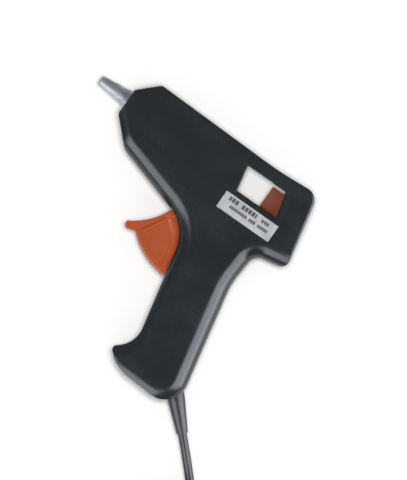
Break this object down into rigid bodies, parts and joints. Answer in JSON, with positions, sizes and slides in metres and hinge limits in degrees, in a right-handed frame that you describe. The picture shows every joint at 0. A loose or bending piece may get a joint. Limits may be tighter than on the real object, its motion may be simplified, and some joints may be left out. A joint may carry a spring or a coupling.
{
  "type": "glue gun",
  "caption": "Small corded hot-melt glue gun with a swinging trigger, aluminium cone nozzle, see-through stick window and a coiled mains cord with its plug.",
  "frame": {"origin": "middle of the footprint of the housing, trigger and nozzle, on the right shell's outer face", "axes": "+X rearward along the barrel, +Y towards the top of the gun, +Z from the right shell to the left shell, up as the gun lies"},
  "size_m": [0.1841, 0.2469, 0.0261],
  "materials": {
    "black_plastic": "satin moulded ABS with a fine grain",
    "orange_plastic": "satin moulded plastic",
    "carriage_plastic": "darker orange moulded plastic",
    "nozzle_aluminium": "fine turned, slightly dull",
    "chamber_aluminium": "die cast",
    "label_foil": null,
    "screw_steel": "zinc plated",
    "spring_steel": "drawn wire and strip",
    "heater_ceramic": "dark ceramic",
    "contact_brass": "stamped",
    "amber_film": "polyimide film",
    "red_silicone": "heat-proof silicone",
    "brown_insulation": "PVC insulation",
    "blue_insulation": "PVC insulation",
    "black_rubber": "moulded soft PVC",
    "black_pvc": "smooth PVC jacket",
    "tie_plastic": "black nylon tie"
  },
  "bodies": {
    "housing": {"left_shell": "black_plastic", "right_shell": "black_plastic", "shell_screws": "screw_steel", "rating_label": "label_foil", "nozzle": "nozzle_aluminium", "valve_spring": "spring_steel", "melt_chamber": "chamber_aluminium", "ptc_heater": "heater_ceramic", "contact_plate_upper": "contact_brass", "contact_plate_lower": "contact_brass", "heater_insulation": "amber_film", "heater_clip": "spring_steel", "front_support_ring": "red_silicone", "rear_support_ring": "red_silicone", "inlet_sleeve": "red_silicone", "sleeve_clamp": "spring_steel", "stick_guide": "black_plastic", "trigger_pivot_pin": "screw_steel", "return_spring": "spring_steel", "cord_clamp": "black_plastic", "clamp_screws": "screw_steel", "live_wire": "brown_insulation", "neutral_wire": "blue_insulation", "wire_crimps": "contact_brass", "strain_relief": "black_rubber", "inner_cord": "black_pvc", "cord_lead": "black_pvc", "cord_coil": "black_pvc", "cord_tail": "black_pvc", "cord_tie": "tie_plastic", "plug_body": "black_pvc", "plug_blades": "contact_brass"},
    "trigger": {"trigger": "orange_plastic", "link_pin": "screw_steel"},
    "link": {"feed_link": "screw_steel"},
    "carriage": {"feed_carriage": "carriage_plastic", "carriage_pin": "screw_steel", "pawl_pin": "screw_steel"},
    "pawl": {"grip_pawl": "spring_steel"},
    "valve": {"valve_ball": "screw_steel"}
  },
  "joints": [
    {"name": "trigger_pull", "type": "hinge", "parent": "housing", "child": "trigger", "pos_m": [0.0196, 0.0256, 0.013], "axis": [0, 0, 1], "range_deg": [0, 22], "stiffness_Nm_per_rad": 0.08, "springref_deg": -34.38},
    {"name": "link_swing", "type": "hinge", "parent": "trigger", "child": "link", "pos_m": [0.0224, 0.0398, 0.013], "axis": [0, 0, 1], "range_deg": [-22.2, 0]},
    {"name": "carriage_feed", "type": "slide", "parent": "housing", "child": "carriage", "axis": [-1, 0, 0], "range_m": [0, 0.0056], "deforming": ["return_spring"]},
    {"name": "pawl_bite", "type": "hinge", "parent": "carriage", "child": "pawl", "pos_m": [0.0472, 0.0416, 0.013], "axis": [0, 0, -1], "range_deg": [0, 6.2]},
    {"name": "valve_lift", "type": "slide", "parent": "housing", "child": "valve", "axis": [-1, 0, 0], "range_m": [0, 0.001], "stiffness_N_per_m": 200, "springref_m": -0.0005, "deforming": ["valve_spring"]}
  ],
  "couplings": [
    {"joint": "link_swing", "follows": "trigger_pull", "ratio": -1},
    {"joint": "carriage_feed", "follows": "trigger_pull", "m_per_rad": 0.01438},
    {"joint": "pawl_bite", "follows": "trigger_pull", "ratio": 0.2727}
  ]
}
